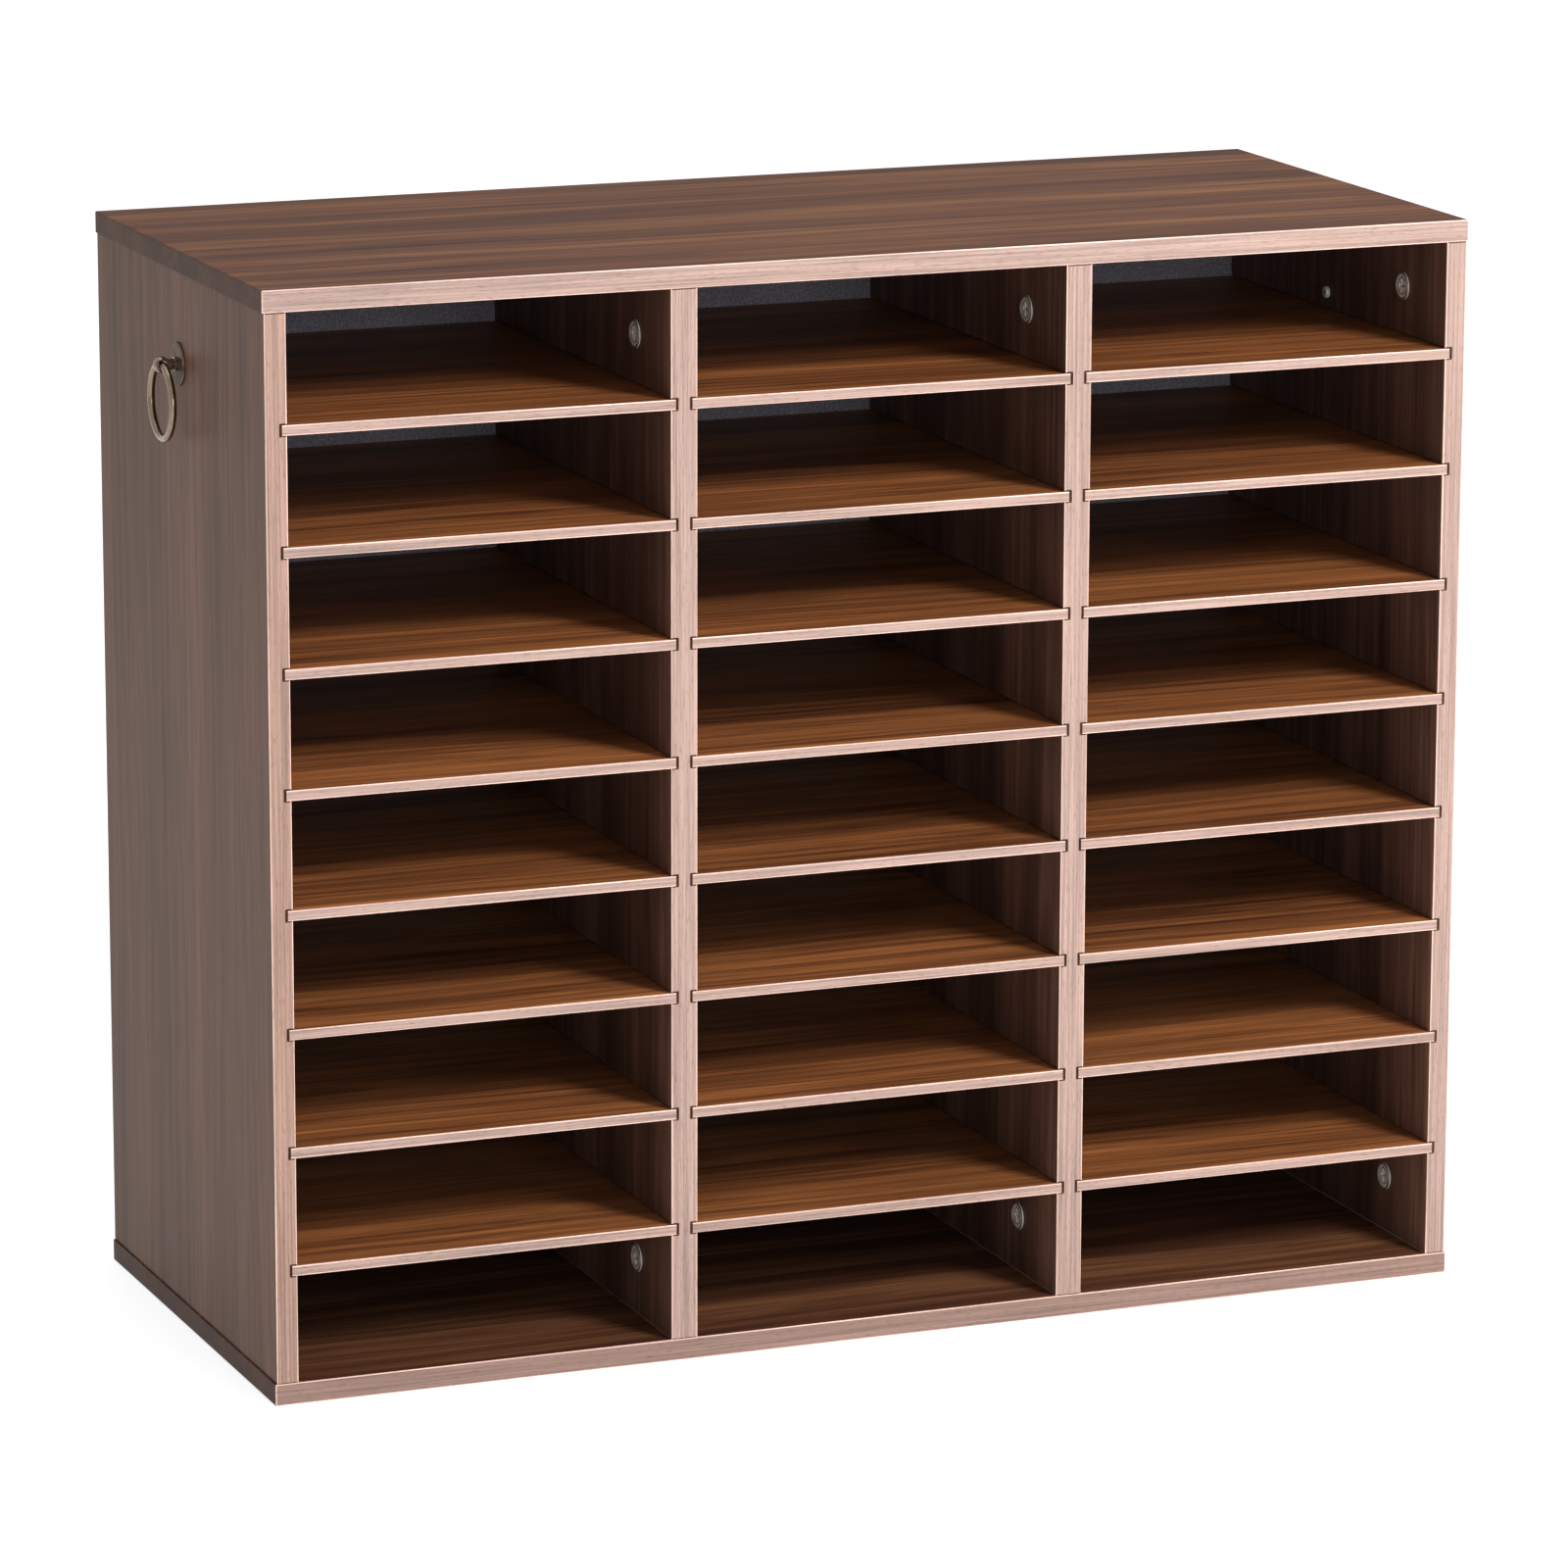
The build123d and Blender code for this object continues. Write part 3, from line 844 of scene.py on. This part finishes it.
def repeated(name, template, points, turn, material):
    """The plain mesh that the node group makes of a template and some points."""
    tree, inputs = repeat_tree(name + "_repeat", template, material)
    data = bpy.data.meshes.new(name + "_points")
    data.from_pydata([tuple(point) for point in points], [], [])
    carrier = bpy.data.objects.new(name + "_carrier", data)
    bpy.context.scene.collection.objects.link(carrier)
    modifier = carrier.modifiers.new("repeat", "NODES")
    modifier.node_group = tree
    modifier[inputs["Size"]] = 1.0
    modifier[inputs["Turn"]] = turn
    bpy.context.view_layer.update()
    made = bpy.data.meshes.new_from_object(carrier.evaluated_get(bpy.context.evaluated_depsgraph_get()))
    bpy.data.objects.remove(carrier)
    return made


def cam_face_template():
    """The raised rim, inner step and pointer of one cam lock, facing +X at the origin."""
    solid = Solid()
    solid.turned(CAM_RIM_PROFILE, CAM_RIM_CORNERS)
    solid.turned(CAM_STEP_PROFILE, CAM_STEP_CORNERS)
    solid.wedge(CAM_POINTER, CAM_POINTER_HEIGHT)
    template = bpy.data.objects.new("cam_face_template", solid.finish("cam_face"))
    bpy.context.scene.collection.objects.link(template)
    return template


def cam_points(node, side):
    """The middle of the outer face of every lock in a cam lock node."""
    low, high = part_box(node)
    face_x = high.x if side > 0 else low.x
    return [
        Vector((face_x, y, z))
        for y in (low.y + CAM_RIM_RADIUS, high.y - CAM_RIM_RADIUS)
        for z in (low.z + CAM_RIM_RADIUS, high.z - CAM_RIM_RADIUS)
    ]


def make_cam_locks(upright, template):
    """The four locks of one upright, with bright outer faces and shaded driver recesses."""
    node = upright + "_cam_locks"
    side = CAM_SIDE[upright]
    points = cam_points(node, side)
    turn = (0.0, 0.0, 0.0 if side > 0 else math.pi)
    details = repeated(upright + "_cam_faces", template, points, turn, MATERIALS["zinc"])
    mesh = welded_copy(node)
    smooth_by_angle(mesh)
    outer = {vert for vert in mesh.verts if abs(vert.co.x - points[0].x) < FACE_TOLERANCE}
    for face in mesh.faces:
        on_face = all(vert in outer for vert in face.verts)
        face.material_index = PLATED if on_face or abs(face.normal.x) < ASLANT else SHADED
    mesh.from_mesh(details)
    data = finished_mesh(mesh, node, MATERIALS["zinc"], MATERIALS["zinc_dark"])
    link_piece(node + "_heads", data, "cabinet", node)


def make_handle_screw(prefix, side):
    """A plated screw, which lies inside the cabinet, with a dark cross of painted shade on its head in
    place of its cross recess.
    """
    node = prefix + "_handle_screw"
    low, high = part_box(node)
    middle = (low + high) / 2
    mesh = welded_copy(node)
    smooth_by_angle(mesh)
    head_x = low.x if side > 0 else high.x
    ends = sorted((head_x + side * CROSS_DEPTH, head_x - side * CROSS_LIFT))
    arms = ((CROSS_HALF_LENGTH, CROSS_HALF_WIDTH), (CROSS_HALF_WIDTH, CROSS_HALF_LENGTH))
    for half_y, half_z in arms:
        add_block(
            mesh, (ends[0], middle.y - half_y, middle.z - half_z),
            (ends[1], middle.y + half_y, middle.z + half_z), SHADED,
        )
    data = finished_mesh(mesh, node, MATERIALS["zinc"], MATERIALS["zinc_dark"])
    link_piece(node + "_head", data, "cabinet", node)


def make_ring(prefix):
    """The loose ring of one handle, as a fine loop of round wire."""
    node = prefix + "_handle_ring"
    low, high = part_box(node)
    wire = (high.x - low.x) / 2
    ring = Solid()
    ring.torus((low + high) / 2, (high.z - low.z) / 2 - wire, wire)
    data = ring.finish(prefix + "_ring", MATERIALS["bronze"])
    link_piece(prefix + "_ring_wire", data, prefix + "_ring", node)


def make_handle_metal(prefix, part, finish):
    """A rosette or a post with its turned faces smoothed."""
    node = f"{prefix}_handle_{part}"
    mesh = welded_copy(node)
    smooth_by_angle(mesh)
    data = finished_mesh(mesh, node, MATERIALS[finish])
    link_piece(node + "_metal", data, "cabinet", node)


# The studio.


def aim(thing, place, target):
    """Puts a light at a place and turns it to its target."""
    thing.location = place
    thing.rotation_euler = (Vector(target) - Vector(place)).to_track_quat("-Z", "Y").to_euler()


def make_world():
    """Soft even light, which is white where the camera and the metal see it."""
    world = bpy.data.worlds.new("studio")
    bpy.context.scene.world = world
    graph = Graph(world)
    soft = graph.add("ShaderNodeBackground", Color=SKY_COLOUR, Strength=SKY_STRENGTH)
    white = graph.add("ShaderNodeBackground", Color=WHITE, Strength=1.0)
    blend = graph.add("ShaderNodeMixShader", Fac=graph.seen_by_eye_or_metal())
    output = graph.add("ShaderNodeOutputWorld")
    graph.tree.links.new(soft.outputs[0], blend.inputs[1])
    graph.tree.links.new(white.outputs[0], blend.inputs[2])
    graph.tree.links.new(blend.outputs[0], output.inputs["Surface"])


def make_floor():
    """A wide flat floor just under the cabinet."""
    mesh = bmesh.new()
    reach = FLOOR_REACH
    corners = ((-reach, -reach), (reach, -reach), (reach, reach), (-reach, reach))
    mesh.faces.new([mesh.verts.new((x, y, cad_low[2] - FLOOR_GAP)) for x, y in corners])
    floor = bpy.data.objects.new("floor", finished_mesh(mesh, "floor", floor_white()))
    bpy.context.scene.collection.objects.link(floor)


def area_light(name, light, power):
    """A rectangular studio light from its named values."""
    place, target, size, colour = light
    lamp = bpy.data.lights.new(name, "AREA")
    lamp.shape = "RECTANGLE"
    lamp.size, lamp.size_y = size
    lamp.energy = power
    lamp.color = colour
    thing = bpy.data.objects.new(name, lamp)
    bpy.context.scene.collection.objects.link(thing)
    aim(thing, place, target)


def make_lights(key_power, fill_power):
    """A warm key from the right, a cool wide fill, and plain light from the right and above."""
    area_light("key", KEY_LIGHT, key_power)
    area_light("fill", FILL_LIGHT, fill_power)
    area_light("right", RIGHT_LIGHT, RIGHT_LIGHT_SHARE * fill_power)
    area_light("top", TOP_LIGHT, TOP_LIGHT_SHARE * fill_power)


def make_camera(lens_length):
    """The camera at the photograph's viewing angle."""
    lens = bpy.data.cameras.new("camera")
    lens.lens = lens_length
    lens.sensor_width = CAMERA_SENSOR_WIDTH
    lens.clip_end = CAMERA_CLIP_END
    camera = bpy.data.objects.new("camera", lens)
    bpy.context.scene.collection.objects.link(camera)
    camera.location = CAMERA_PLACE
    camera.rotation_euler = Euler(CAMERA_TURN)
    bpy.context.scene.camera = camera


# Operators.


class ORGANIZER_OT_boards(bpy.types.Operator):
    """Build the top, the bottom, the uprights and the back panels"""

    bl_idname = "organizer.boards"
    bl_label = "Build boards"

    def execute(self, context):
        make_board("top_panel", X_AXIS, "top", TOP_SEED)
        make_board("bottom_panel", X_AXIS, "bottom", BOTTOM_SEED)
        kinds = {"left_side": "left_outer", "right_side": "right_outer"}
        for seed, name in enumerate(UPRIGHTS, FIRST_UPRIGHT_SEED):
            make_board(name + "_panel", Z_AXIS, kinds.get(name, "divider"), seed)
        for column in COLUMNS:
            paint_node(column + "_back_panel", MATERIALS["back"])
        return {"FINISHED"}


class ORGANIZER_OT_shelves(bpy.types.Operator):
    """Build the thin shelves of all columns"""

    bl_idname = "organizer.shelves"
    bl_label = "Build shelves"

    def execute(self, context):
        for seed, node in enumerate(SHELVES, FIRST_SHELF_SEED):
            make_board(node, X_AXIS, "shelf", seed)
        return {"FINISHED"}


class ORGANIZER_OT_fittings(bpy.types.Operator):
    """Build the cam locks, the screws and the hidden fittings"""

    bl_idname = "organizer.fittings"
    bl_label = "Build fittings"

    def execute(self, context):
        template = cam_face_template()
        for upright in UPRIGHTS:
            make_cam_locks(upright, template)
        bpy.data.objects.remove(template)
        for end in END_BOARDS:
            paint_node(end + "_cam_bolts", MATERIALS["zinc"])
            paint_node(end + "_wood_dowels", MATERIALS["beech"])
        for prefix, side in HANDLE_SIDES.items():
            make_handle_screw(prefix, side)
        return {"FINISHED"}


class ORGANIZER_OT_handles(bpy.types.Operator):
    """Build the ring handles on both sides"""

    bl_idname = "organizer.handles"
    bl_label = "Build ring handles"

    def execute(self, context):
        for prefix in HANDLE_SIDES:
            make_ring(prefix)
            make_handle_metal(prefix, "rosette", "dark_bronze")
            make_handle_metal(prefix, "post", "bronze")
        return {"FINISHED"}


class ORGANIZER_OT_stage(bpy.types.Operator):
    """Set the white floor, the studio lights and the camera"""

    bl_idname = "organizer.stage"
    bl_label = "Set stage"

    def execute(self, context):
        chosen = settings()
        make_world()
        make_floor()
        make_lights(chosen.key_power, chosen.fill_power)
        make_camera(chosen.lens)
        context.scene.view_settings.view_transform = "Standard"
        return {"FINISHED"}


class ORGANIZER_PT_panel(bpy.types.Panel):
    """The organizer's settings and build steps in the sidebar"""

    bl_idname = "ORGANIZER_PT_panel"
    bl_label = "Document organizer"
    bl_space_type = "VIEW_3D"
    bl_region_type = "UI"
    bl_category = "Organizer"

    def draw(self, context):
        for name in OrganizerSettings.__annotations__:
            self.layout.prop(context.scene.organizer, name)
        for operator in OPERATORS:
            self.layout.operator(operator.bl_idname)


OPERATORS = (
    ORGANIZER_OT_boards,
    ORGANIZER_OT_shelves,
    ORGANIZER_OT_fittings,
    ORGANIZER_OT_handles,
    ORGANIZER_OT_stage,
)
CLASSES = (OrganizerSettings, *OPERATORS, ORGANIZER_PT_panel)


def register():
    """Makes the settings, the operators and the panel known to Blender."""
    for item in CLASSES:
        bpy.utils.register_class(item)
    bpy.types.Scene.organizer = bpy.props.PointerProperty(type=OrganizerSettings)


def unregister():
    """Takes them out again."""
    del bpy.types.Scene.organizer
    for item in reversed(CLASSES):
        bpy.utils.unregister_class(item)


def main():
    """Builds the organizer and its stage."""
    register()
    make_materials()
    bpy.ops.organizer.boards()
    bpy.ops.organizer.shelves()
    bpy.ops.organizer.fittings()
    bpy.ops.organizer.handles()
    bpy.ops.organizer.stage()


if __name__ == "__main__":
    main()
